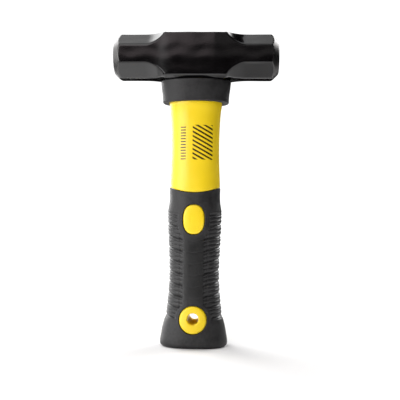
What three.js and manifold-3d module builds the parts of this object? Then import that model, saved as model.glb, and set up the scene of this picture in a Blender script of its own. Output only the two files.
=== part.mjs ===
// A stubby two-faced lump hammer: a forged head bonded to a fibreglass-cored handle.
// Millimetres. +Z runs up the handle, +X along the head, and the front is -Y.
// The origin is the middle of the flat butt, so the hammer stands on the plane z = 0.
import * as THREE from "three";
import { mergeVertices } from "three/addons/utils/BufferGeometryUtils.js";
import Module from "manifold-3d";

const wasm = await Module();
wasm.setup();

// ---- Driving dimensions. A width is along X, a depth along Y and a height along Z. ----
const TOTAL_HEIGHT = 241.2;
const HEAD_LENGTH = 129;
const BAR_HEIGHT = 34.2; // the head's octagonal ends
const CHEEK_DEPTH = 37; // the head round its eye
const CHEEK_DROP = 1.6; // the cheeks reach this far below the ends
const CHEEK_SINK = 0.8; // and stop this far below the ends' tops
const END_DEPTH = 34; // the octagonal ends
const END_FACET = 13.6; // height of an end's front facet
const COLLAR_BOTTOM = 188;
const GRIP_EDGE_MIDDLE = 118.3; // height of the rubber's upper edge at the front and back
const GRIP_EDGE_SIDE = 122.4; // and at the two sides
const CORE_WIDTH = 20;
const CORE_DEPTH = 14;
const HANG_HOLE_DIAMETER = 8.6;
const HANG_HOLE_HEIGHT = 22.5;
const FIT_GAP = 0.3; // between pieces that are bonded or moulded together
const SEAL_SPACE = 1.8; // between the head and the top of the jacket

// ---- Dimensions that follow from them ----
const HEAD_MIDDLE = TOTAL_HEIGHT - BAR_HEIGHT / 2;
const HEAD_BOTTOM = TOTAL_HEIGHT - BAR_HEIGHT - CHEEK_DROP;
const JACKET_TOP = HEAD_BOTTOM - SEAL_SPACE;
const CHEEK_TOP = TOTAL_HEIGHT - CHEEK_SINK;
const EYE_TOP = CHEEK_TOP - 1; // the resin and the core stop this far up the eye

const ROUND_SEGMENTS = 32;
const SQUARENESS = 2.3; // exponent of the superellipse that every oval section follows
const REACH = 60; // half the length of a cutter that passes right through the handle

// ---- Between three.js geometry and solids ----
function solid(geometry) {
  const bare = geometry.index ? geometry.toNonIndexed() : geometry.clone();
  bare.deleteAttribute("normal");
  bare.deleteAttribute("uv");
  const merged = mergeVertices(bare, 1e-3);
  return new wasm.Manifold(
    new wasm.Mesh({
      numProp: 3,
      vertProperties: merged.getAttribute("position").array,
      triVerts: new Uint32Array(merged.index.array),
    }),
  );
}

function geometryOf(manifold) {
  const mesh = manifold.getMesh();
  const indexed = new THREE.BufferGeometry();
  indexed.setAttribute("position", new THREE.BufferAttribute(mesh.vertProperties, 3));
  indexed.setIndex(new THREE.BufferAttribute(mesh.triVerts, 1));
  const flat = indexed.toNonIndexed();
  flat.computeVertexNormals();
  return flat;
}

// ---- Shape helpers ----

// An oval turned about Z. A station is [half width, half depth, height]. The stations start and end
// on the axis, or end where they start.
function ovalSolid(stations) {
  const profile = stations.map(([halfWidth, , height]) => new THREE.Vector2(halfWidth, height));
  const geometry = new THREE.LatheGeometry(profile, ROUND_SEGMENTS).rotateX(Math.PI / 2);
  const position = geometry.getAttribute("position");
  for (let i = 0; i < position.count; i++) {
    const [halfWidth, halfDepth] = stations[i % stations.length];
    if (halfWidth === 0) continue;
    const across = position.getX(i) / halfWidth;
    const deep = position.getY(i) / halfWidth;
    const norm = Math.abs(across) ** SQUARENESS + Math.abs(deep) ** SQUARENESS;
    const stretch = norm ** (-1 / SQUARENESS);
    position.setX(i, across * stretch * halfWidth);
    position.setY(i, deep * stretch * halfDepth);
  }
  return solid(geometry);
}

// The same, solid to the axis, from a list of stations that climbs from the bottom to the top.
function ovalPost(stations) {
  const [, , bottom] = stations[0];
  const [, , top] = stations[stations.length - 1];
  return ovalSolid([[0, 0, bottom], ...stations, [0, 0, top]]);
}

// Stations along a smooth curve through a few control stations.
function smoothStations(controls, count) {
  const curve = new THREE.CatmullRomCurve3(controls.map((c) => new THREE.Vector3(...c)));
  return curve.getPoints(count).map((p) => [p.x, p.y, p.z]);
}

function grown(stations, by) {
  return stations.map(([halfWidth, halfDepth, height]) => [halfWidth + by, halfDepth + by, height]);
}

// A prism through the handle from front to back, whose outline is drawn looking along +Y, with X
// to the right and Z up.
function frontPrism(shape, curveSegments) {
  const geometry = new THREE.ExtrudeGeometry(shape, {
    depth: 2 * REACH,
    bevelEnabled: false,
    curveSegments,
  });
  return solid(geometry.translate(0, 0, -REACH).rotateX(Math.PI / 2));
}

function frontEllipse(height, halfWidth, halfHeight) {
  const shape = new THREE.Shape().absellipse(0, height, halfWidth, halfHeight, 0, 2 * Math.PI);
  return frontPrism(shape, ROUND_SEGMENTS);
}

// ---- The head ----
const EDGE_ROUNDING = 1.2;
const SWELL_OUTER = 34; // the cheeks swell from this far out along the head
const SWELL_INNER = 14; // to this far out
const RUN_OUT_CORNER = 30.3; // the corner flats turn outward this far out along the head
const RUN_OUT_ANGLE = THREE.MathUtils.degToRad(47);
const RUN_OUT_RADIUS = 6;

// The head's bar, seen from above, with its long edges eased.
function headBar() {
  const half = HEAD_LENGTH / 2;
  const end = END_DEPTH / 2;
  const cheek = CHEEK_DEPTH / 2;
  const bend = (SWELL_OUTER - SWELL_INNER) / 2;
  const outline = new THREE.Shape();
  outline.moveTo(-half, -end);
  outline.lineTo(-SWELL_OUTER, -end);
  outline.bezierCurveTo(-SWELL_OUTER + bend, -end, -SWELL_INNER - bend, -cheek, -SWELL_INNER, -cheek);
  outline.lineTo(SWELL_INNER, -cheek);
  outline.bezierCurveTo(SWELL_INNER + bend, -cheek, SWELL_OUTER - bend, -end, SWELL_OUTER, -end);
  outline.lineTo(half, -end);
  outline.lineTo(half, end);
  outline.lineTo(SWELL_OUTER, end);
  outline.bezierCurveTo(SWELL_OUTER - bend, end, SWELL_INNER + bend, cheek, SWELL_INNER, cheek);
  outline.lineTo(-SWELL_INNER, cheek);
  outline.bezierCurveTo(-SWELL_INNER - bend, cheek, -SWELL_OUTER + bend, end, -SWELL_OUTER, end);
  outline.lineTo(-half, end);
  const bar = new THREE.ExtrudeGeometry(outline, {
    depth: BAR_HEIGHT - 2 * EDGE_ROUNDING,
    bevelThickness: EDGE_ROUNDING,
    bevelSize: EDGE_ROUNDING,
    bevelOffset: -EDGE_ROUNDING,
    bevelSegments: 3,
    curveSegments: 6,
  });
  return solid(bar.translate(0, 0, EDGE_ROUNDING - BAR_HEIGHT / 2));
}

// The cheeks' underside, which stands a little below the ends and has chamfered edges.
const UNDERSIDE_HALF_LENGTH = 24;
const UNDERSIDE_CORNER = 7;
const UNDERSIDE_CHAMFER = 2.4;

function cheekUnderside() {
  const x = UNDERSIDE_HALF_LENGTH;
  const y = CHEEK_DEPTH / 2;
  const r = UNDERSIDE_CORNER;
  const outline = new THREE.Shape();
  outline.absarc(x - r, y - r, r, 0, Math.PI / 2);
  outline.absarc(r - x, y - r, r, Math.PI / 2, Math.PI);
  outline.absarc(r - x, r - y, r, Math.PI, 1.5 * Math.PI);
  outline.absarc(x - r, r - y, r, 1.5 * Math.PI, 2 * Math.PI);
  const pad = new THREE.ExtrudeGeometry(outline, {
    depth: CHEEK_DROP,
    bevelThickness: UNDERSIDE_CHAMFER,
    bevelSize: UNDERSIDE_CHAMFER,
    bevelOffset: -UNDERSIDE_CHAMFER,
    bevelSegments: 1,
    curveSegments: 4,
  });
  return solid(pad.translate(0, 0, HEAD_BOTTOM - HEAD_MIDDLE + UNDERSIDE_CHAMFER));
}

// What is taken off the cheeks' top, with a slope up to each end.
const SINK_HALF_LENGTH = 22;
const SINK_SLOPE_LENGTH = 6;

function cheekTopCut() {
  const inner = SINK_HALF_LENGTH;
  const outer = inner + SINK_SLOPE_LENGTH;
  const shape = new THREE.Shape();
  shape.moveTo(-outer, TOTAL_HEIGHT);
  shape.lineTo(-inner, CHEEK_TOP);
  shape.lineTo(inner, CHEEK_TOP);
  shape.lineTo(outer, TOTAL_HEIGHT);
  shape.lineTo(outer, TOTAL_HEIGHT + 1);
  shape.lineTo(-outer, TOTAL_HEIGHT + 1);
  return frontPrism(shape, 1);
}

// What the corner flats leave of two opposite corners: a long prism, thin at the ends and full round
// the eye, with an arc where each flat turns outward and runs out. It is drawn with X along the head
// and Y across two opposite flats, then turned 45 degrees about the head's axis.
function cornerFlats(turn) {
  const flat = (END_DEPTH + END_FACET) / 2 / Math.SQRT2;
  const arcStart = RUN_OUT_CORNER + RUN_OUT_RADIUS * Math.tan(RUN_OUT_ANGLE / 2);
  const arcCentre = flat + RUN_OUT_RADIUS;
  const rise = 12; // enough to leave the cheeks whole
  const down = -Math.PI / 2;
  const corner = new THREE.Path();
  corner.moveTo(HEAD_LENGTH, flat);
  corner.lineTo(arcStart, flat);
  corner.absarc(arcStart, arcCentre, RUN_OUT_RADIUS, down, down - RUN_OUT_ANGLE, true);
  corner.lineTo(RUN_OUT_CORNER - rise / Math.tan(RUN_OUT_ANGLE), flat + rise);
  const quarter = corner.getPoints(6);
  const half = [...quarter, ...quarter.map((p) => new THREE.Vector2(-p.x, p.y)).reverse()];
  const outline = [...half, ...half.map((p) => new THREE.Vector2(-p.x, -p.y))];
  const prism = new THREE.ExtrudeGeometry(new THREE.Shape(outline), {
    depth: 2 * REACH,
    bevelEnabled: false,
  });
  return solid(prism.translate(0, 0, -REACH).rotateX(turn));
}

// A spindle about the head's axis whose ends are the two striking faces: a flat middle, a shallow
// crown round it, and a turned bevel.
const FACE_FLAT_RADIUS = 8;
const BEVEL_START_RADIUS = 12.7;
const FACE_CROWN = 0.5;

function strikingFaces() {
  const half = HEAD_LENGTH / 2;
  const bevelRise = CHEEK_DEPTH - BEVEL_START_RADIUS;
  const right = [
    new THREE.Vector2(CHEEK_DEPTH, half - FACE_CROWN - bevelRise),
    new THREE.Vector2(BEVEL_START_RADIUS, half - FACE_CROWN),
    new THREE.Vector2(FACE_FLAT_RADIUS, half),
    new THREE.Vector2(0, half),
  ];
  const left = right.map((p) => new THREE.Vector2(p.x, -p.y)).reverse();
  return solid(new THREE.LatheGeometry([...left, ...right], ROUND_SEGMENTS).rotateZ(-Math.PI / 2));
}

// The eye is an oval hole that narrows to a waist, so that the resin in it can't pull out.
function eyeStations(by) {
  return grown(
    [
      [13.6, 10.1, HEAD_BOTTOM],
      [12, 8.5, HEAD_MIDDLE],
      [14, 10.5, CHEEK_TOP],
    ],
    by,
  );
}

function hammerHead() {
  const [bottom, waist, top] = eyeStations(0);
  const eye = ovalPost([
    [bottom[0], bottom[1], HEAD_BOTTOM - 1],
    bottom,
    waist,
    top,
    [top[0], top[1], TOTAL_HEIGHT + 1],
  ]);
  return headBar()
    .add(cheekUnderside())
    .intersect(cornerFlats(Math.PI / 4))
    .intersect(cornerFlats(-Math.PI / 4))
    .intersect(strikingFaces())
    .translate(0, 0, HEAD_MIDDLE)
    .subtract(cheekTopCut())
    .subtract(eye);
}

// ---- Inside the eye and the handle ----
const CORE_BOTTOM = 34;

function corePost(by, bottom, top) {
  const size = [CORE_WIDTH / 2 + by, CORE_DEPTH / 2 + by];
  return ovalPost([
    [...size, bottom],
    [...size, top],
  ]);
}

function fibreglassCore() {
  return corePost(0, CORE_BOTTOM, EYE_TOP);
}

// Resin cast into the eye round the core.
function eyeResin() {
  const [bottom, waist, top] = eyeStations(-FIT_GAP);
  const share = (EYE_TOP - HEAD_MIDDLE) / (CHEEK_TOP - HEAD_MIDDLE);
  const rim = [0, 1].map((k) => waist[k] + (top[k] - waist[k]) * share);
  return ovalPost([bottom, waist, [...rim, EYE_TOP]]).subtract(
    corePost(FIT_GAP, HEAD_BOTTOM - 1, TOTAL_HEIGHT),
  );
}

// A thin washer under the head that keeps the resin in the eye until it sets.
const SEAL_SIZE = [19.2, 14.5]; // half width and half depth

function eyeSeal() {
  return ovalPost([
    [...SEAL_SIZE, JACKET_TOP + FIT_GAP],
    [...SEAL_SIZE, HEAD_BOTTOM - FIT_GAP],
  ]).subtract(corePost(FIT_GAP, 0, TOTAL_HEIGHT));
}

// ---- The handle's outside ----
const JACKET_AT_COLLAR = [20.5, 15.5]; // half width and half depth, as in the next two
const COLLAR_AT_BOTTOM = [25.8, 17.3];
const COLLAR_AT_TOP = [27.3, 18.2];
const COLLAR_EDGE = 1.2;

// A thick rubber sleeve right under the head, which takes the blow when a swing lands long.
function headCollar() {
  const top = HEAD_BOTTOM - FIT_GAP;
  const bore = JACKET_AT_COLLAR.map((half) => half + FIT_GAP);
  return ovalSolid([
    [...bore, COLLAR_BOTTOM],
    [...COLLAR_AT_BOTTOM.map((half) => half - COLLAR_EDGE), COLLAR_BOTTOM],
    [...COLLAR_AT_BOTTOM, COLLAR_BOTTOM + COLLAR_EDGE],
    [...COLLAR_AT_TOP, top - COLLAR_EDGE],
    [...COLLAR_AT_TOP.map((half) => half - COLLAR_EDGE), top],
    [...bore, top],
    [...bore, COLLAR_BOTTOM],
  ]);
}

// The jacket's waisted outside between the collar and the rubber, and on down behind the rubber's edge.
const JACKET_STATIONS = [
  [19.4, 14.5, 114],
  ...smoothStations(
    [
      [19.3, 14.4, 126],
      [18.6, 13.9, 140],
      [18.4, 13.8, 156],
      [18.9, 14.1, 172],
      [19.5, 14.6, 181],
      [20.4, 15.4, 187],
    ],
    8,
  ),
  [...JACKET_AT_COLLAR, COLLAR_BOTTOM],
  [...JACKET_AT_COLLAR, JACKET_TOP],
];

// The stations of the rubber, and of the recess it sits in, run on to here, past the rubber's cut edge.
const SLEEVE_TOP = 126;

// The jacket's body inside the rubber, slimmer so that the rubber sits in a recess.
const RECESS_STATIONS = [
  [20.5, 13.6, 3.4],
  [19.2, 12.9, 18],
  [16.6, 12, 36],
  [15.8, 11.8, 52],
  [15.8, 11.8, SLEEVE_TOP],
];

// The rubber's outside: a flared butt, a slim waist, a swell under the palm, and a thin upper end.
const BUTT_SIZE = [25.9, 18.2]; // half width and half depth, as in the next one
const GRIP_TOP_SIZE = [19.6, 15.1];
const BUTT_ROUNDING = 3;
const GRIP_STATIONS = [
  [...BUTT_SIZE.map((half) => half - BUTT_ROUNDING), 0],
  [...BUTT_SIZE.map((half) => half - BUTT_ROUNDING / 3), BUTT_ROUNDING / 3],
  ...smoothStations(
    [
      [26, 18.3, BUTT_ROUNDING],
      [25.5, 17.9, 9],
      [23.4, 16.9, 19],
      [21.5, 16.1, 31],
      [19.7, 15.4, 48],
      [19.7, 15.4, 62],
      [20.5, 15.8, 80],
      [21.1, 16, 95],
      [21, 15.9, 104],
    ],
    12,
  ),
  [19.7, 15.2, 108.5],
  [...GRIP_TOP_SIZE, SLEEVE_TOP],
];

// Everything above the rubber's curved upper edge, raised by a little for the jacket's shoulder.
function aboveGripEdge(raise) {
  const half = REACH / 2;
  const middle = GRIP_EDGE_MIDDLE + raise;
  const [gripHalfWidth] = GRIP_TOP_SIZE;
  const rise = (GRIP_EDGE_SIDE - GRIP_EDGE_MIDDLE) * (half / gripHalfWidth) ** 2;
  const shape = new THREE.Shape();
  shape.moveTo(-half, TOTAL_HEIGHT + REACH);
  shape.lineTo(-half, middle + rise);
  shape.quadraticCurveTo(0, middle - rise, half, middle + rise);
  shape.lineTo(half, TOTAL_HEIGHT + REACH);
  return frontPrism(shape, 16);
}

// The two islands where the jacket comes up through windows in the rubber, front and back.
const ISLAND_PROUD = 0.4;
const OVAL_ISLAND = [97.8, 8.1, 11.2]; // [height, half width, half height]
const RING_ISLAND = [21.7, 10.4, 10.4];

function islands(by) {
  const [ovalHeight, ovalHalfWidth, ovalHalfHeight] = OVAL_ISLAND;
  const [ringHeight, ringHalfWidth, ringHalfHeight] = RING_ISLAND;
  return frontEllipse(ovalHeight, ovalHalfWidth + by, ovalHalfHeight + by).add(
    frontEllipse(ringHeight, ringHalfWidth + by, ringHalfHeight + by),
  );
}

function hangHole(by) {
  const radius = HANG_HOLE_DIAMETER / 2 + by;
  return frontEllipse(HANG_HOLE_HEIGHT, radius, radius);
}

// A hard jacket moulded round the core, with the hang hole through its foot.
function handleJacket() {
  const shaft = ovalPost(JACKET_STATIONS).intersect(aboveGripEdge(FIT_GAP));
  const raised = ovalPost(grown(GRIP_STATIONS, ISLAND_PROUD)).intersect(islands(0));
  return shaft
    .add(ovalPost(RECESS_STATIONS))
    .add(raised)
    .subtract(corePost(FIT_GAP, CORE_BOTTOM - FIT_GAP, TOTAL_HEIGHT))
    .subtract(hangHole(0));
}

const GROOVE_PITCH = 8.75;
const GROOVE_COUNT = 9;
const LOWEST_GROOVE = 25; // height of the lowest groove at the handle's side
const GROOVE_DEPTH = 0.9;
const GROOVE_HALF_HEIGHT = 1.3;
const GROOVE_SLOPE = Math.tan(THREE.MathUtils.degToRad(13)); // the grooves fall towards the middle
const GRIP_SIDE = 20; // how far from the middle the grooves' heights are given
const PANEL_HALF_WIDTH = 7.8; // plain panel down the front and back, between the side grooves

// Sloping finger grooves across the two sides of the rubber.
function sideGrooves() {
  const bars = [];
  for (let k = 0; k < GROOVE_COUNT; k++) {
    const height = LOWEST_GROOVE + k * GROOVE_PITCH;
    for (const side of [-1, 1]) {
      const shape = new THREE.Shape();
      const ends = [PANEL_HALF_WIDTH, REACH / 2];
      const [low, high] = ends.map((x) => [x, height + (x - GRIP_SIDE) * GROOVE_SLOPE]);
      shape.moveTo(side * low[0], low[1] - GROOVE_HALF_HEIGHT);
      shape.lineTo(side * high[0], high[1] - GROOVE_HALF_HEIGHT);
      shape.lineTo(side * high[0], high[1] + GROOVE_HALF_HEIGHT);
      shape.lineTo(side * low[0], low[1] + GROOVE_HALF_HEIGHT);
      bars.push(frontPrism(shape, 1));
    }
  }
  const skin = ovalPost(grown(GRIP_STATIONS, 1)).subtract(ovalPost(grown(GRIP_STATIONS, -GROOVE_DEPTH)));
  return bars.reduce((all, bar) => all.add(bar)).intersect(skin);
}

// The recess in the rubber that the jacket's slim body fills.
function gripCavity() {
  const stations = grown(RECESS_STATIONS, FIT_GAP);
  stations[0][2] -= FIT_GAP;
  return ovalPost(stations);
}

// The soft rubber grip: a sleeve closed over the butt, open at the top, with windows for the islands.
function rubberGrip() {
  return ovalPost(GRIP_STATIONS)
    .subtract(aboveGripEdge(0))
    .subtract(gripCavity())
    .subtract(islands(FIT_GAP))
    .subtract(sideGrooves());
}

// ---- The assembly ----
const FINISHES = {
  lacqueredSteel: { color: 0x17171a, roughness: 0.32, metalness: 0.3 },
  fibreglass: { color: 0xcfcba0, roughness: 0.6, metalness: 0 },
  resin: { color: 0x2a2622, roughness: 0.35, metalness: 0 },
  foam: { color: 0x4a4a4c, roughness: 0.95, metalness: 0 },
  rubber: { color: 0x262629, roughness: 0.75, metalness: 0 },
  yellowPlastic: { color: 0xf8d21c, roughness: 0.38, metalness: 0 },
};

const PIECES = [
  ["hammer_head", hammerHead, "lacqueredSteel"],
  ["fibreglass_core", fibreglassCore, "fibreglass"],
  ["eye_resin", eyeResin, "resin"],
  ["eye_seal", eyeSeal, "foam"],
  ["head_collar", headCollar, "rubber"],
  ["handle_jacket", handleJacket, "yellowPlastic"],
  ["rubber_grip", rubberGrip, "rubber"],
];

const hammer = new THREE.Group();
for (const [name, make, finish] of PIECES) {
  const mesh = new THREE.Mesh(geometryOf(make()), new THREE.MeshStandardMaterial(FINISHES[finish]));
  mesh.name = name;
  hammer.add(mesh);
}

export default hammer;
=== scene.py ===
"""A lump hammer: a lacquered steel head on a yellow and black moulded handle.

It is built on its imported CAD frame. Each piece is described by a field, a function of x, y and z that
is negative inside the piece. The field is meshed finely, and the mesh stands for the CAD node of the
same place. Fields are in millimetres and meshes in metres, both in the CAD's frame: Z up the handle,
X along the head, and the front at -Y.
"""

import math

import bpy
import numpy as np
from mathutils import Matrix, Vector


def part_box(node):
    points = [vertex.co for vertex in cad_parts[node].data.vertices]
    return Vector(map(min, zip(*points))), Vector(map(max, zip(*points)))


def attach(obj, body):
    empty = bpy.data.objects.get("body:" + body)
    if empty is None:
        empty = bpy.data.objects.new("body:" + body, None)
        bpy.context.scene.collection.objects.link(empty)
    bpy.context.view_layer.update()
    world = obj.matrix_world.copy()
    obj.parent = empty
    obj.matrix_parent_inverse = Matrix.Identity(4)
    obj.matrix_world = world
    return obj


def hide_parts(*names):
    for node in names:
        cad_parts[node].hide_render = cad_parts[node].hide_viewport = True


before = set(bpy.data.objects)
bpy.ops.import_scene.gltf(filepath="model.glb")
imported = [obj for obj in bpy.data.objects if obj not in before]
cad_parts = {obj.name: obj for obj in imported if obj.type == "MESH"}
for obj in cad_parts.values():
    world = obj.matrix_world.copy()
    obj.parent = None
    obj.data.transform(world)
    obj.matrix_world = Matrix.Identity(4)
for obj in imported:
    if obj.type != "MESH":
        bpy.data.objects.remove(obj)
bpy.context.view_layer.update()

MM = 0.001
TINY = 1e-9  # keeps a division from failing


# ---- Places, read from the CAD, in millimetres ----


def box_mm(node):
    low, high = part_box(node)
    return np.array(low) / MM, np.array(high) / MM


HEAD_LOW, HEAD_HIGH = box_mm("hammer_head")
COLLAR_LOW, COLLAR_HIGH = box_mm("head_collar")
JACKET_LOW, JACKET_HIGH = box_mm("handle_jacket")
GRIP_LOW, GRIP_HIGH = box_mm("rubber_grip")
CORE_LOW, CORE_HIGH = box_mm("fibreglass_core")
RESIN_LOW, RESIN_HIGH = box_mm("eye_resin")
SEAL_LOW, SEAL_HIGH = box_mm("eye_seal")

BAR_HALF_HEIGHT = 17.1  # the head's octagonal ends
HEAD_MIDDLE = HEAD_HIGH[2] - BAR_HALF_HEIGHT
CORE_HALF_WIDTH = CORE_HIGH[0]
CORE_HALF_DEPTH = CORE_HIGH[1]
GAP = 0.3  # between two pieces that are bonded or moulded together


# ---- Curves and fields ----


def smoothstep(start, end, value):
    share = np.clip((value - start) / (end - start), 0, 1)
    return share * share * (3 - 2 * share)


def curve(*points):
    """A smooth curve through (height, value) points, as a function of height."""
    heights, values = np.array(points, float).T
    slopes = np.gradient(values, heights)

    def at(height):
        height = np.clip(height, heights[0], heights[-1])
        i = np.clip(np.searchsorted(heights, height, side="right") - 1, 0, len(heights) - 2)
        step = heights[i + 1] - heights[i]
        t = (height - heights[i]) / step
        start = (1 + 2 * t) * (1 - t) ** 2 * values[i] + t * (1 - t) ** 2 * step * slopes[i]
        end = t * t * (3 - 2 * t) * values[i + 1] + t * t * (t - 1) * step * slopes[i + 1]
        return start + end

    return at


def oval(across, deep, half_width, half_depth, power=2.3):
    """Nearly the distance from a superellipse."""
    u = np.abs(across) / half_width
    v = np.abs(deep) / half_depth
    size = np.maximum((u**power + v**power) ** (1 / power), TINY)
    slope_u = (u / size) ** (power - 1) / half_width
    slope_v = (v / size) ** (power - 1) / half_depth
    return (size - 1) / np.maximum(np.hypot(slope_u, slope_v), TINY)


def both(a, b, radius):
    """Inside a and inside b, with their shared edge rounded."""
    rounded = np.hypot(np.maximum(a + radius, 0), np.maximum(b + radius, 0))
    return rounded + np.minimum(np.maximum(a, b), -radius)


def without(a, b, radius):
    """Inside a and outside b, with the cut's edge rounded."""
    return both(a, -b, radius)


def either(a, b, radius):
    """Inside a or inside b, with a fillet where they meet."""
    return -both(-a, -b, radius)


# ---- From a field to a mesh ----

CORNERS = [(i, j, k) for i in (0, 1) for j in (0, 1) for k in (0, 1)]
EDGES = [
    (a, b)
    for a in range(8)
    for b in range(a + 1, 8)
    if sum(abs(p - q) for p, q in zip(CORNERS[a], CORNERS[b])) == 1
]
MARGIN = 2  # empty cells round the mesh
PROJECTION_STEPS = 4
PROJECTION_REACH = 0.1  # of a cell, between two samples of a slope
NORMAL_REACH = 0.2
LEAST_SLOPE = 0.1  # squared
STRAY = 0.25  # how far past its own cell a point may move, as a share of the cell


def gradient(field, points, reach):
    """The field's slope along each axis, from samples this far to either side."""
    slopes = []
    for axis in range(3):
        step = np.zeros(3)
        step[axis] = reach
        ahead = field(*(points + step).T)
        behind = field(*(points - step).T)
        slopes.append((ahead - behind) / (2 * reach))
    return np.array(slopes).T


def crossing_points(values, cells, starts, cell):
    """For each cell that the surface crosses, the mean of where it crosses the cell's edges."""
    corner_values = [values[cells[0] + i, cells[1] + j, cells[2] + k] for i, j, k in CORNERS]
    total = np.zeros((len(cells[0]), 3))
    count = np.zeros(len(cells[0]))
    for a, b in EDGES:
        va, vb = corner_values[a], corner_values[b]
        crosses = (va < 0) != (vb < 0)
        share = np.where(crosses, va / np.where(crosses, va - vb, 1), 0)
        from_corner, to_corner = np.array(CORNERS[a]), np.array(CORNERS[b])
        point = from_corner + share[:, None] * (to_corner - from_corner)
        total += np.where(crosses[:, None], point, 0)
        count += crosses
    return starts + total / count[:, None] * cell


def surface_faces(inside, index):
    """One square face for each grid edge that the surface crosses, facing out."""
    faces = []
    for axis in range(3):
        near = np.moveaxis(inside, axis, 0)
        cells = np.moveaxis(index, axis, 0)
        crosses = near[:-1] != near[1:]
        i, j, k = np.nonzero(crosses[:, 1:-1, 1:-1])
        square = [cells[i, j, k], cells[i, j + 1, k], cells[i, j + 1, k + 1], cells[i, j, k + 1]]
        leaving = near[i, j + 1, k + 1]
        if axis == 1:
            leaving = ~leaving
        square = np.array(square).T
        square[~leaving] = square[~leaving][:, ::-1]
        faces.append(square)
    return np.concatenate(faces)


def field_mesh(name, field, low, high, cell):
    """A closed mesh of the surface where the field is zero, between two corners."""
    low = np.array(low, float) - MARGIN * cell
    high = np.array(high, float) + MARGIN * cell
    axes = [lo + cell * np.arange(math.ceil((hi - lo) / cell) + 1) for lo, hi in zip(low, high)]
    values = field(*np.meshgrid(*axes, indexing="ij", sparse=True))
    inside = values < 0
    cell_shape = [n - 1 for n in inside.shape]
    count = np.zeros(cell_shape, int)
    for i, j, k in CORNERS:
        count += inside[i : i + cell_shape[0], j : j + cell_shape[1], k : k + cell_shape[2]]
    cells = np.nonzero((count > 0) & (count < 8))
    index = np.full(cell_shape, -1)
    index[cells] = np.arange(len(cells[0]))
    starts = low + np.array(cells).T * cell
    points = crossing_points(values, cells, starts, cell)
    for _ in range(PROJECTION_STEPS):
        slope = gradient(field, points, cell * PROJECTION_REACH)
        length = np.maximum((slope**2).sum(1), LEAST_SLOPE)
        move = -(field(*points.T) / length)[:, None] * slope
        points = np.clip(points + move, starts - cell * STRAY, starts + cell * (1 + STRAY))
    normals = gradient(field, points, cell * NORMAL_REACH)
    normals /= np.linalg.norm(normals, axis=1)[:, None]

    mesh = bpy.data.meshes.new(name)
    mesh.from_pydata((points * MM).tolist(), [], surface_faces(inside, index).tolist())
    mesh.shade_smooth()
    mesh.normals_split_custom_set_from_vertices(normals.tolist())
    piece = bpy.data.objects.new(name, mesh)
    bpy.context.scene.collection.objects.link(piece)
    return piece


# ---- The head ----

END_HALF_DEPTH = 17
END_FACET = 13.6  # height of an end's front facet
SWELL_START, SWELL_END = 34, 14  # the cheeks swell between these distances along the head
RUN_OUT_CORNER = 30.3  # the corner flats turn outward this far along the head
RUN_OUT_ANGLE = math.radians(47)
RUN_OUT_RADIUS = 6
CHEEK_SINK = 0.8  # how far the cheeks' top lies below the ends' tops
CHEEK_EDGE = 0.8  # radius of the cheeks' long edges
UNDERSIDE_START, UNDERSIDE_END = 27, 21  # the cheeks' underside and top drop between these distances
UNDERSIDE_CHAMFER = 2.5
UNDERSIDE_EDGE = 0.6
FLAT_CROWN = 0.35  # how far the front and back flats bulge at mid height
FACET_EDGE = 0.9
FACE_CROWN = 0.5  # how far a striking face bulges
BEVEL_START = 12.7  # radius at which the striking face ends and the turned bevel starts
BEVEL_EDGE = 0.6
EYE_WAIST = (12.0, 8.5)  # half width and half depth of the eye at its waist
EYE_MOUTH = (14.0, 10.5)
EYE_EDGE = 0.8
FORGED_WAVE = 0.022  # how uneven the forged flats are


def eye(x, y, z, grown_by=0.0):
    """The oval hole through the head, which narrows to a waist."""
    flare = np.minimum(np.abs(z - HEAD_MIDDLE) / BAR_HALF_HEIGHT, 1) ** 1.5
    half_width, half_depth = [w + (m - w) * flare + grown_by for w, m in zip(EYE_WAIST, EYE_MOUTH)]
    return oval(x, y, half_width, half_depth)


def forged_waves(x, y, z):
    return FORGED_WAVE * (
        np.sin(x / 2.9 + 0.7 * np.sin(y / 3.1 + z / 4.3))
        + np.sin(y / 1.9 + z / 2.3 + 1.1 * np.sin(x / 5.3))
        + np.sin(z / 1.7 - y / 2.7 + 0.8 * np.sin(x / 3.7 + 2))
    )


def head_field(x, y, z):
    along, deep, high = np.abs(x), np.abs(y), np.abs(z - HEAD_MIDDLE)
    half_length, cheek_half_depth = HEAD_HIGH[0], HEAD_HIGH[1]
    half_depth = END_HALF_DEPTH + (cheek_half_depth - END_HALF_DEPTH) * smoothstep(
        SWELL_START, SWELL_END, along
    )
    drop = smoothstep(UNDERSIDE_START, UNDERSIDE_END, along)
    bottom = HEAD_MIDDLE - BAR_HALF_HEIGHT - drop * (HEAD_MIDDLE - BAR_HALF_HEIGHT - HEAD_LOW[2])
    front = deep - half_depth + FLAT_CROWN * (high / BAR_HALF_HEIGHT) ** 2
    top = HEAD_HIGH[2] - CHEEK_SINK * drop
    bar = both(front, z - top, CHEEK_EDGE)
    bar = both(bar, bottom - z, UNDERSIDE_EDGE)
    chamfer = (front + bottom - z + UNDERSIDE_CHAMFER * drop) / math.sqrt(2)
    bar = both(bar, chamfer, UNDERSIDE_EDGE)
    corner = (deep + high - END_HALF_DEPTH - END_FACET / 2) / math.sqrt(2)
    run_out = corner * math.cos(RUN_OUT_ANGLE) - (RUN_OUT_CORNER - along) * math.sin(RUN_OUT_ANGLE)
    flats = either(corner, run_out, RUN_OUT_RADIUS)
    body = both(bar, flats, FACET_EDGE) + forged_waves(x, y, z)
    radius = np.hypot(deep, high)
    face = along - half_length + FACE_CROWN * (radius / BEVEL_START) ** 2
    bevel = (along - half_length + FACE_CROWN + radius - BEVEL_START) / math.sqrt(2)
    body = both(body, both(face, bevel, BEVEL_EDGE), BEVEL_EDGE)
    return without(body, eye(x, y, z), EYE_EDGE)


# ---- Inside the eye and the handle ----

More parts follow.
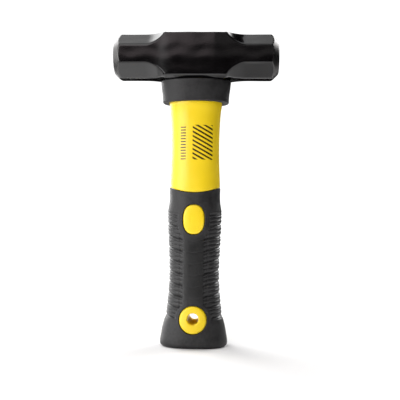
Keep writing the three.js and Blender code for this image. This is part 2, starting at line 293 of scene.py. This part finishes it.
SAWN_EDGE = 0.4
RESIN_DISH = 0.7  # how far the resin's top sinks between the core and the eye's wall
RESIN_DISH_WIDTH = 2.2
RESIN_EDGE = 0.25
SEAL_EDGE = 0.3


def core_oval(x, y, grown_by=0.0):
    return oval(x, y, CORE_HALF_WIDTH + grown_by, CORE_HALF_DEPTH + grown_by)


def core_field(x, y, z):
    """The rod, with its top sawn a little unevenly."""
    top = z - CORE_HIGH[2] + 0.06 * np.sin(x * 2.1) + 0.05 * np.sin(y * 2.7 + x)
    rod = both(core_oval(x, y), top, SAWN_EDGE)
    return both(rod, CORE_LOW[2] - z, SAWN_EDGE)


def resin_field(x, y, z):
    wall = eye(x, y, z, -GAP)
    bore = core_oval(x, y, GAP)
    middle = np.exp(-(((wall + bore) / RESIN_DISH_WIDTH) ** 2))
    top = z - RESIN_HIGH[2] + RESIN_DISH * middle
    body = both(both(wall, top, RESIN_EDGE), RESIN_LOW[2] - z, RESIN_EDGE)
    return without(body, bore, RESIN_EDGE)


def seal_field(x, y, z):
    rim = oval(x, y, SEAL_HIGH[0], SEAL_HIGH[1])
    middle = (SEAL_LOW[2] + SEAL_HIGH[2]) / 2
    body = both(rim, np.abs(z - middle) - (SEAL_HIGH[2] - middle), SEAL_EDGE)
    return without(body, core_oval(x, y, GAP), SEAL_EDGE)


# ---- The collar ----

COLLAR_TOP_EDGE = 0.9
COLLAR_BOTTOM_EDGE = 1.3
COLLAR_BORE_EDGE = 0.4
COLLAR_POWER = 2.4  # of its superellipse
collar_half_width = curve(
    (188, 25.7), (192.5, 25.9), (196, 26.2), (199, 26.7), (202, 27.0), (205.1, 27.4),
)
collar_half_depth = curve((188, 17.3), (193, 17.5), (199, 17.8), (205.1, 18.2))
JACKET_AT_COLLAR = (20.5, 15.5)  # the jacket's half width and half depth inside the collar


def collar_field(x, y, z):
    outside = oval(x, y, collar_half_width(z), collar_half_depth(z), COLLAR_POWER)
    body = both(outside, z - COLLAR_HIGH[2], COLLAR_TOP_EDGE)
    body = both(body, COLLAR_LOW[2] - z, COLLAR_BOTTOM_EDGE)
    bore = oval(x, y, *[half + GAP for half in JACKET_AT_COLLAR])
    return without(body, bore, COLLAR_BORE_EDGE)


# ---- The jacket and the grip ----

SLEEVE_TOP = 126  # the slim part of the jacket ends here, inside the shaft
shaft_half_width = curve(
    (114, 19.4), (SLEEVE_TOP, 19.3), (140, 18.7), (156, 18.5), (172, 19.0),
    (181, 19.6), (187, 20.4), (190, 20.5), (206, 20.5),
)
shaft_half_depth = curve(
    (114, 14.5), (SLEEVE_TOP, 14.4), (140, 13.9), (156, 13.8), (172, 14.1),
    (181, 14.6), (187, 15.4), (190, 15.5), (206, 15.5),
)
recess_half_width = curve((3, 20.5), (18, 19.2), (36, 16.6), (52, 15.8), (SLEEVE_TOP, 15.8))
recess_half_depth = curve((3, 13.6), (18, 12.9), (36, 12.0), (52, 11.8), (SLEEVE_TOP, 11.8))
grip_half_width = curve(
    (0, 26.0), (5, 26.0), (10, 25.2), (15, 24.3), (19, 23.3), (23, 22.2), (30, 21.5), (40, 20.4),
    (50, 19.8), (62, 19.7), (72, 20.1), (84, 20.7), (95, 21.1), (103, 21.0), (106.5, 20.4),
    (109.5, 19.9), (SLEEVE_TOP, 19.7),
)
grip_half_depth = curve(
    (0, 18.3), (5, 18.3), (10, 17.8), (19, 16.9), (30, 16.2), (48, 15.5), (62, 15.5), (80, 15.8),
    (95, 16.0), (103, 15.9), (106.5, 15.6), (109.5, 15.2), (SLEEVE_TOP, 15.1),
)

GRIP_EDGE_MIDDLE = 118.3  # height of the rubber's upper edge at the front and back
GRIP_EDGE_WIDTH = 19.6
GRIP_TOP_EDGE = 0.5
BUTT_EDGE = 3.2
FOOT_EDGE = 2  # the jacket's foot, inside the butt
WINDOW_HEIGHT = 97.8
WINDOW_HALF_WIDTH = 8.1
WINDOW_HALF_HEIGHT = 11.2
WINDOW_POWER = 2.4
WINDOW_EDGE = 0.6
RING_HEIGHT = 21.7
RING_RADIUS = 10.4
HANG_HOLE_HEIGHT = 22.5
HANG_HOLE_RADIUS = 4.3
HANG_HOLE_EDGE = 0.9
ISLAND_PROUD = 0.4
ISLAND_EDGE = 1.3
SHOULDER_EDGE = 0.4
JACKET_TOP_EDGE = 0.5
INNER_EDGE = 0.2
INNER_FILLET = 0.3


def grip_edge(x):
    """Height of the rubber's upper edge, which dips at the front and back."""
    return GRIP_EDGE_MIDDLE + (GRIP_HIGH[2] - GRIP_EDGE_MIDDLE) * (x / GRIP_EDGE_WIDTH) ** 2


def oval_window(x, z):
    return oval(x, z - WINDOW_HEIGHT, WINDOW_HALF_WIDTH, WINDOW_HALF_HEIGHT, WINDOW_POWER)


def ring_window(x, z):
    return np.hypot(x, z - RING_HEIGHT) - RING_RADIUS


def grip_outside(x, y, z):
    return oval(x, y, grip_half_width(z), grip_half_depth(z))


def jacket_field(x, y, z):
    shaft = oval(x, y, shaft_half_width(z), shaft_half_depth(z))
    shaft = both(shaft, grip_edge(x) + GAP - z, SHOULDER_EDGE)
    recess = oval(x, y, recess_half_width(z), recess_half_depth(z))
    recess = both(recess, JACKET_LOW[2] - z, FOOT_EDGE)
    body = either(shaft, both(recess, z - SLEEVE_TOP, INNER_FILLET), INNER_FILLET)
    outside = grip_outside(x, y, z) - ISLAND_PROUD
    windows = np.minimum(oval_window(x, z), ring_window(x, z))
    body = either(body, both(outside, windows, ISLAND_EDGE), INNER_FILLET)
    body = both(body, z - JACKET_HIGH[2], JACKET_TOP_EDGE)
    bore = both(core_oval(x, y, GAP), CORE_LOW[2] - GAP - z, JACKET_TOP_EDGE)
    body = without(body, bore, INNER_EDGE)
    hole = np.hypot(x, z - HANG_HOLE_HEIGHT) - HANG_HOLE_RADIUS
    return without(body, hole, HANG_HOLE_EDGE)


GROOVE_PITCH = 8.75
LOWEST_GROOVE = 25  # height of the lowest groove at the grip's side
GRIP_SIDE = 20
GROOVE_SLOPE = math.tan(math.radians(13))
GROOVE_DEPTH = 1.45
GROOVE_SHARE = 0.27  # of the pitch, from the ledge over a groove down to where its floor has risen again
LEDGE_SHARE = 0.1
FINE_GROOVE_DEPTH = 0.5
RIBS_PER_PITCH = 3  # a deep groove and two fine ones part them
RIBS_DEPTH = 0.35  # how far the ribs lie below the plain panel
RIBS_BOTTOM = (20.5, 23.5)  # heights between which the ribs fade in
RIBS_TOP = (105, 99)  # and out
PANEL_HALF_WIDTH = 7.8
PANEL_EDGE = (-0.6, 0.8)  # the ribs start between these distances past the plain panel's half width
PANEL_FAINT_SHARE = 0.05  # how much of the grooves carries on across the panel
CREASE_OUT = 10.3  # a crease runs up the ribs this far from the middle
CREASE_DEPTH = 0.25
CREASE_HALF_WIDTH = 0.8
SURROUND_EDGE = (3.6, 4.8)  # the ribs and creases start between these distances from the oval window
RING_SURROUND_CUT = 1  # and this much closer to the ring


def grip_relief(x, z):
    """How far the ribs, grooves and creases beside the plain panel lie below the rubber's outside."""
    across = np.abs(x)
    turns = (z - LOWEST_GROOVE - (across - GRIP_SIDE) * GROOVE_SLOPE) / GROOVE_PITCH
    below_ledge = 1 - (turns - np.floor(turns))
    deep = (1 - smoothstep(0, GROOVE_SHARE, below_ledge)) * smoothstep(0, LEDGE_SHARE, below_ledge)
    fine = (0.5 + 0.5 * np.cos(2 * math.pi * RIBS_PER_PITCH * turns)) ** 4
    on_ribs = smoothstep(*PANEL_EDGE, across - PANEL_HALF_WIDTH)
    grooves = GROOVE_DEPTH * deep * (PANEL_FAINT_SHARE + (1 - PANEL_FAINT_SHARE) * on_ribs)
    ribs = RIBS_DEPTH * on_ribs + np.maximum(grooves, FINE_GROOVE_DEPTH * fine * on_ribs)
    crease = CREASE_DEPTH * np.exp(-(((across - CREASE_OUT) / CREASE_HALF_WIDTH) ** 2))
    surround = np.minimum(oval_window(x, z), ring_window(x, z) + RING_SURROUND_CUT)
    clear = smoothstep(*SURROUND_EDGE, surround)
    return (ribs + crease) * clear * smoothstep(*RIBS_BOTTOM, z) * smoothstep(*RIBS_TOP, z)


def grip_field(x, y, z):
    outside = grip_outside(x, y, z) + grip_relief(x, z)
    body = both(outside, z - grip_edge(x), GRIP_TOP_EDGE)
    body = both(body, -z, BUTT_EDGE)
    cavity = oval(x, y, recess_half_width(z) + GAP, recess_half_depth(z) + GAP)
    cavity = both(cavity, JACKET_LOW[2] - GAP - z, FOOT_EDGE)
    body = without(body, cavity, INNER_EDGE)
    windows = np.minimum(oval_window(x, z), ring_window(x, z)) - GAP
    return without(body, windows, WINDOW_EDGE)


# ---- Materials ----


class Look:
    """A Principled material whose inputs are driven by small node graphs."""

    def __init__(self, name):
        self.material = bpy.data.materials.new(name)
        self.material.use_nodes = True
        self.tree = self.material.node_tree
        self.shader = self.tree.nodes["Principled BSDF"]
        self.place = self.node("ShaderNodeTexCoord").outputs["Object"]

    def node(self, kind, **settings):
        made = self.tree.nodes.new(kind)
        for key, value in settings.items():
            setattr(made, key, value)
        return made

    def link(self, source, target):
        if hasattr(source, "is_output"):
            self.tree.links.new(source, target)
        else:
            target.default_value = source

    def math(self, operation, *values):
        made = self.node("ShaderNodeMath", operation=operation)
        for value, socket in zip(values, made.inputs):
            self.link(value, socket)
        return made.outputs[0]

    def noise(self, size_mm, detail, stretch=(1, 1, 1)):
        """Noise from 0 to 1 whose blobs are about this size."""
        mapping = self.node("ShaderNodeMapping")
        mapping.inputs["Scale"].default_value = stretch
        self.link(self.place, mapping.inputs["Vector"])
        made = self.node("ShaderNodeTexNoise")
        made.inputs["Scale"].default_value = 1 / (size_mm * MM)
        made.inputs["Detail"].default_value = detail
        self.link(mapping.outputs[0], made.inputs["Vector"])
        return made.outputs["Fac"]

    def ramp(self, value, from_low, from_high, to_low, to_high):
        made = self.node("ShaderNodeMapRange")
        for item, socket in zip((value, from_low, from_high, to_low, to_high), made.inputs):
            self.link(item, socket)
        return made.outputs[0]

    def mix(self, share, a, b):
        made = self.node("ShaderNodeMix", data_type="RGBA")
        self.link(share, made.inputs["Factor"])
        self.link((*a, 1) if isinstance(a, tuple) else a, made.inputs["A"])
        self.link((*b, 1) if isinstance(b, tuple) else b, made.inputs["B"])
        return made.outputs["Result"]

    def axes(self):
        made = self.node("ShaderNodeSeparateXYZ")
        self.link(self.place, made.inputs[0])
        return made.outputs

    def set(self, key, source):
        self.link(source, self.shader.inputs[key])

    def bump(self, *layers):
        """Each layer is (height, depth in millimetres)."""
        normal = None
        for height, depth_mm in layers:
            made = self.node("ShaderNodeBump")
            made.inputs["Distance"].default_value = depth_mm * MM
            self.link(height, made.inputs["Height"])
            if normal is not None:
                self.link(normal, made.inputs["Normal"])
            normal = made.outputs[0]
        self.set("Normal", normal)


def lacquered_steel():
    """Forged steel under glossy black lacquer, ground bare on the striking faces and their bevels."""
    look = Look("lacquered_steel")
    blotches = look.noise(14, 4)
    grain = look.noise(0.9, 3)
    orange_peel = look.noise(2.2, 2)
    x, y, z = look.axes()
    lacquer = look.mix(blotches, (0.0018, 0.0016, 0.0018), (0.004, 0.0036, 0.004))
    radius = look.math("POWER", look.math("SUBTRACT", z, HEAD_MIDDLE * MM), 2.0)
    radius = look.math("SQRT", look.math("ADD", radius, look.math("POWER", y, 2.0)))
    past_bevel = look.math("ADD", look.math("ABSOLUTE", x), radius)
    bevel = (HEAD_HIGH[0] - FACE_CROWN + BEVEL_START) * MM
    ground = look.ramp(past_bevel, bevel - 0.5 * MM, bevel - 0.2 * MM, 0, 1)
    face = look.ramp(look.math("ABSOLUTE", x), (HEAD_HIGH[0] - 1) * MM, (HEAD_HIGH[0] - 0.7) * MM, 0, 1)
    ground = look.math("MAXIMUM", ground, face)
    scratches = look.noise(1.2, 4, (0.2, 4, 0.4))
    steel = look.mix(scratches, (0.07, 0.068, 0.068), (0.12, 0.117, 0.115))
    look.set("Base Color", look.mix(ground, lacquer, steel))
    look.set("Metallic", ground)
    glossy = look.ramp(blotches, 0.3, 0.7, 0.11, 0.18)
    look.set("Roughness", look.math("ADD", glossy, look.math("MULTIPLY", ground, 0.18)))
    look.bump((orange_peel, 0.012), (grain, 0.008))
    return look.material


def worn_rubber(look, base, middle_roughness):
    """Give black rubber its grain, and return its dark tone, its colour and its roughness."""
    look.shader.inputs["Specular IOR Level"].default_value = 0.4
    patches = look.noise(9, 4)
    mottle = look.noise(2.2, 3)
    pebble = look.noise(0.7, 2)
    speckle = look.noise(0.35, 2)
    look.bump((patches, 0.05), (mottle, 0.06), (pebble, 0.035), (speckle, 0.012))
    worn = look.math("MULTIPLY", look.math("ADD", patches, mottle), 0.5)
    dark, light = [tuple(base * k * tint for tint in (1, 0.98, 1.02)) for k in (0.5, 1.7)]
    colour = look.mix(look.ramp(worn, 0.35, 0.65, 0, 1), dark, light)
    roughness = look.ramp(worn, 0.35, 0.65, middle_roughness - 0.08, middle_roughness + 0.1)
    return dark, colour, roughness


def collar_rubber():
    look = Look("collar_rubber")
    _, colour, roughness = worn_rubber(look, 0.012, 0.52)
    look.set("Base Color", colour)
    look.set("Roughness", roughness)
    return look.material


PANEL_BOTTOM, PANEL_TOP = 35, 84
PANEL_GLOSS = 0.14  # how much less rough the grip's plain panel is
PANEL_FADE = 6  # how gently the panel starts and ends
RIB_POLISH = 0.11  # how much less rough a hand has made the ribs


def grip_rubber():
    """Rubber that is smoother on the plain panel and polished on the ribs, with painted shade darkening
    its grooves.
    """
    look = Look("grip_rubber")
    dark, colour, roughness = worn_rubber(look, 0.014, 0.5)
    x, _, z = look.axes()
    across = look.math("ABSOLUTE", x)
    smooth = look.ramp(across, (PANEL_HALF_WIDTH - 1) * MM, (PANEL_HALF_WIDTH + 1) * MM, 1, 0)
    for height, below, above in ((PANEL_BOTTOM, 0, 1), (PANEL_TOP, 1, 0)):
        fade = look.ramp(z, (height - PANEL_FADE) * MM, (height + PANEL_FADE) * MM, below, above)
        smooth = look.math("MULTIPLY", smooth, fade)
    colour = look.mix(smooth, colour, tuple(0.5 * part for part in dark))
    roughness = look.math("SUBTRACT", roughness, look.math("MULTIPLY", smooth, PANEL_GLOSS))
    relief = look.node("ShaderNodeAttribute", attribute_name="relief").outputs["Fac"]
    polished = look.ramp(relief, 0.5 * RIBS_DEPTH, RIBS_DEPTH, 0, RIB_POLISH)
    # painted shade: the grooves' colour is darkened towards a fifth of the rubber's dark tone, for the
    # shade that falls in them
    painted_groove_shade = look.ramp(relief, 0.8 * GROOVE_DEPTH, GROOVE_DEPTH, 0, 1)
    look.set("Base Color", look.mix(painted_groove_shade, colour, tuple(0.2 * part for part in dark)))
    look.set("Roughness", look.math("SUBTRACT", roughness, polished))
    return look.material


PRINT_RIGHT, PRINT_LEFT = 13.6, -1.6  # the printed bars' right and left ends
PRINT_BOTTOM, PRINT_TOP = 143.5, 170
PRINT_BARS = 8
PRINT_LEAN = 0.55  # how far the bars fall for each millimetre to the right
DASH_RIGHT, DASH_LEFT = -6.8, -10.8
DASHES = 12


def yellow_plastic():
    """Moulded plastic with a block of leaning bars and a column of dashes printed on the front."""
    look = Look("yellow_plastic")
    x, y, z = look.axes()
    cloud = look.noise(12, 3)
    ripple = look.noise(5, 2, (1, 1, 0.25))
    grain = look.noise(0.7, 2)
    yellow = look.mix(cloud, (0.84, 0.60, 0.010), (0.89, 0.645, 0.014))

    def between(value, low, high):
        soft = 0.12 * MM
        rising = look.ramp(value, low * MM - soft, low * MM + soft, 0, 1)
        falling = look.ramp(value, high * MM - soft, high * MM + soft, 1, 0)
        return look.math("MULTIPLY", rising, falling)

    def stripes(value, count, share):
        pitch = (PRINT_TOP - PRINT_BOTTOM) / count
        turns = look.math("DIVIDE", look.math("SUBTRACT", value, PRINT_BOTTOM * MM), pitch * MM)
        part = look.math("FRACT", turns)
        return look.ramp(part, share - 0.02, share + 0.02, 1, 0)

    in_height = between(z, PRINT_BOTTOM, PRINT_TOP)
    leaning = look.math("ADD", z, look.math("MULTIPLY", x, PRINT_LEAN))
    bars = look.math("MULTIPLY", stripes(leaning, PRINT_BARS, 0.45), between(x, PRINT_LEFT, PRINT_RIGHT))
    dashes = look.math("MULTIPLY", stripes(z, DASHES, 0.4), between(x, DASH_LEFT, DASH_RIGHT))
    marks = look.math("MULTIPLY", look.math("MAXIMUM", bars, dashes), in_height)
    front = look.math("LESS_THAN", y, 0.0)
    worn = look.ramp(look.noise(0.8, 3), 0.3, 0.45, 0.75, 1)
    marks = look.math("MULTIPLY", look.math("MULTIPLY", marks, front), worn)
    look.set("Base Color", look.mix(marks, yellow, (0.02, 0.008, 0.002)))
    look.set("Roughness", look.ramp(cloud, 0.3, 0.7, 0.3, 0.4))
    look.bump((ripple, 0.12), (grain, 0.008))
    return look.material


def sawn_fibreglass():
    look = Look("fibreglass")
    fibres = look.noise(0.35, 2)
    patches = look.noise(3, 3)
    pale = look.mix(patches, (0.55, 0.50, 0.33), (0.68, 0.63, 0.45))
    look.set("Base Color", look.mix(look.ramp(fibres, 0.45, 0.6, 0, 0.6), pale, (0.35, 0.31, 0.2)))
    look.set("Roughness", look.ramp(fibres, 0.3, 0.7, 0.5, 0.75))
    look.bump((fibres, 0.05))
    return look.material


def cast_resin():
    look = Look("cast_resin")
    swirl = look.noise(4, 4)
    bubbles = look.noise(0.8, 1)
    look.set("Base Color", look.mix(swirl, (0.012, 0.010, 0.009), (0.03, 0.026, 0.022)))
    look.set("Roughness", look.ramp(swirl, 0.3, 0.7, 0.22, 0.38))
    look.bump((swirl, 0.15), (bubbles, 0.03))
    return look.material


def foam():
    look = Look("foam")
    cells = look.noise(0.5, 2)
    look.set("Base Color", look.mix(cells, (0.05, 0.05, 0.052), (0.1, 0.1, 0.104)))
    look.set("Roughness", look.ramp(cells, 0.3, 0.7, 0.85, 1))
    look.bump((cells, 0.1))
    return look.material


# ---- The pieces ----

COARSE = 1.0
FINE_CELL = 0.5 * COARSE
PLAIN_CELL = 0.66 * COARSE
HIDDEN_CELL = 0.8 * COARSE
SMALL_CELL = 0.4 * COARSE
BOX_MARGIN = 1  # round a node's box, for what stands proud of it

# name, CAD node, field, cell, material, slot
PIECES = [
    ("head_body", "hammer_head", head_field, FINE_CELL, lacquered_steel(), "lacquered_steel"),
    ("core_rod", "fibreglass_core", core_field, HIDDEN_CELL, sawn_fibreglass(), "fibreglass"),
    ("resin_plug", "eye_resin", resin_field, FINE_CELL, cast_resin(), "resin"),
    ("seal_washer", "eye_seal", seal_field, SMALL_CELL, foam(), "foam"),
    ("collar_sleeve", "head_collar", collar_field, FINE_CELL, collar_rubber(), "collar_rubber"),
    ("jacket_shell", "handle_jacket", jacket_field, PLAIN_CELL, yellow_plastic(), "yellow_plastic"),
    ("grip_sleeve", "rubber_grip", grip_field, FINE_CELL, grip_rubber(), "grip_rubber"),
]


def store_relief(piece):
    """Keep the depth of the grip's relief on its mesh, in millimetres, for its material."""
    points = np.array([vertex.co for vertex in piece.data.vertices]) / MM
    relief = piece.data.attributes.new("relief", "FLOAT", "POINT")
    relief.data.foreach_set("value", grip_relief(points[:, 0], points[:, 2]).astype(np.float32))


for name, node, field, cell, material, slot in PIECES:
    low, high = box_mm(node)
    piece = field_mesh(name, field, low - BOX_MARGIN, high + BOX_MARGIN, cell)
    piece.data.materials.append(material)
    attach(piece, "root")
    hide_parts(node)

store_relief(bpy.data.objects["grip_sleeve"])


# ---- The floor, the light and the camera ----


def pale_floor():
    half = 0.6
    tones = (0.86, 0.86, 0.86), (0.9, 0.9, 0.9)
    mesh = bpy.data.meshes.new("floor")
    corners = [(-half, -half, 0), (half, -half, 0), (half, half, 0), (-half, half, 0)]
    mesh.from_pydata(corners, [], [(0, 1, 2, 3)])
    floor = bpy.data.objects.new("floor", mesh)
    bpy.context.scene.collection.objects.link(floor)
    look = Look("pale_floor")
    look.set("Base Color", look.mix(look.noise(60, 2), *tones))
    look.set("Roughness", 0.9)
    mesh.materials.append(look.material)
    return floor


# Soft panels of light round the hammer. An azimuth is 0 at the front and 90 at the right. Each is
# (azimuth of its middle, half width, lower elevation, upper elevation, softness, colour), in degrees.
PANELS = [
    (-24, 22, 13.5, 34, 2, (1.2, 1.02, 1.06)),
    (20, 22, 13.5, 34, 2, (0.32, 0.3, 0.3)),
    (-24, 22, 24, 64, 4, (1.55, 1.5, 1.5)),
    (-45, 22, -5, 20, 6, (5, 5, 5)),
    (-90, 22, -5, 20, 8, (2, 2, 2)),
    (-90, 22, 20, 45, 8, (2, 2, 2)),
    (-135, 22, -5, 20, 8, (5, 5, 5)),
    (-135, 22, 25, 60, 8, (5.5, 5.5, 5.5)),
    (135, 22, 20, 45, 8, (6.9, 6.9, 6.9)),
    (-150, 30, 60, 84, 8, (0.5, 0.5, 0.5)),
]
BACKDROP = 1.2  # brightness of the background that the camera sees


def studio_world(panels):
    """Plain white to the camera. To everything else, a dark room with soft panels of light."""
    world = bpy.data.worlds.new("studio")
    bpy.context.scene.world = world
    world.use_nodes = True
    tree = world.node_tree
    nodes, links = tree.nodes, tree.links

    def fill(made, values):
        for value, socket in zip(values, made.inputs):
            if hasattr(value, "is_output"):
                links.new(value, socket)
            else:
                socket.default_value = value
        return made.outputs[0]

    def math_node(operation, *values):
        made = nodes.new("ShaderNodeMath")
        made.operation = operation
        return fill(made, values)

    def vector_node(operation, *values):
        made = nodes.new("ShaderNodeVectorMath")
        made.operation = operation
        return fill(made, values)

    def soft_step(value, start, end):
        made = nodes.new("ShaderNodeMapRange")
        made.interpolation_type = "SMOOTHSTEP"
        return fill(made, (value, start, end, 0, 1))

    parts = nodes.new("ShaderNodeSeparateXYZ")
    fill(parts, [nodes.new("ShaderNodeTexCoord").outputs["Generated"]])
    right, back, up = parts.outputs
    degree = math.radians(1)
    azimuth = math_node("DIVIDE", math_node("ARCTAN2", right, math_node("MULTIPLY", back, -1)), degree)
    elevation = math_node("DIVIDE", math_node("ARCSINE", up), degree)
    is_camera = nodes.new("ShaderNodeLightPath").outputs["Is Camera Ray"]
    total = vector_node("MULTIPLY", is_camera, (BACKDROP, BACKDROP, BACKDROP))
    unseen = math_node("SUBTRACT", 1, is_camera)
    for middle, half_width, low, high, soft, colour in panels:
        away = math_node("WRAP", math_node("SUBTRACT", azimuth, middle), 180, -180)
        share = soft_step(math_node("ABSOLUTE", away), half_width + soft, half_width - soft)
        share = math_node("MULTIPLY", share, soft_step(elevation, low - soft, low + soft))
        share = math_node("MULTIPLY", share, soft_step(elevation, high + soft, high - soft))
        share = math_node("MULTIPLY", share, unseen)
        total = vector_node("ADD", total, vector_node("MULTIPLY", share, colour))
    links.new(total, nodes["Background"].inputs["Color"])


def softbox(name, place, aim, size, power):
    """A lamp of this size in metres and power in watts, at a place, that faces another place."""
    data = bpy.data.lights.new(name, "AREA")
    data.shape = "RECTANGLE"
    data.size, data.size_y = size
    data.energy = power
    lamp = bpy.data.objects.new(name, data)
    lamp.location = place
    lamp.rotation_euler = (Vector(aim) - Vector(place)).to_track_quat("-Z", "Y").to_euler()
    bpy.context.scene.collection.objects.link(lamp)


VIEW_AZIMUTH = math.radians(2.5)  # the camera stands a little to the right of the front
VIEW_DISTANCE = 0.560
EYE_LEVEL = 0.1012
VIEW_OFFSET = 0.0039  # to the right, across the view
VIEW_TILT = math.radians(1.2)  # upward
VIEW_ROLL = math.radians(0.56)
FIELD_OF_VIEW = math.radians(31.13)


def camera():
    data = bpy.data.cameras.new("camera")
    data.sensor_width = 36
    data.angle = FIELD_OF_VIEW
    made = bpy.data.objects.new("camera", data)
    turn = Matrix.Rotation(VIEW_AZIMUTH, 3, "Z")
    made.location = turn @ Vector((VIEW_OFFSET, -VIEW_DISTANCE, EYE_LEVEL))
    made.rotation_mode = "XYZ"
    ahead = turn @ Vector((0, math.cos(VIEW_TILT), math.sin(VIEW_TILT)))
    made.rotation_euler = ahead.to_track_quat("-Z", "Y").to_euler()
    made.rotation_euler.rotate_axis("Z", VIEW_ROLL)
    bpy.context.scene.collection.objects.link(made)
    bpy.context.scene.camera = made


pale_floor()
studio_world(PANELS)
softbox("top_softbox", (-0.1, -0.1, 0.9), (0, 0, 0.1), (0.8, 0.8), 2.1)
softbox("left_bounce", (-0.155, -0.07, 0.003), (-0.155, -0.07, 1), (0.23, 0.26), 0.18)
softbox("front_bounce", (0.0, -0.2, 0.003), (0.0, -0.2, 1), (0.14, 0.2), 0.06)
camera()
bpy.context.scene.view_settings.view_transform = "Standard"
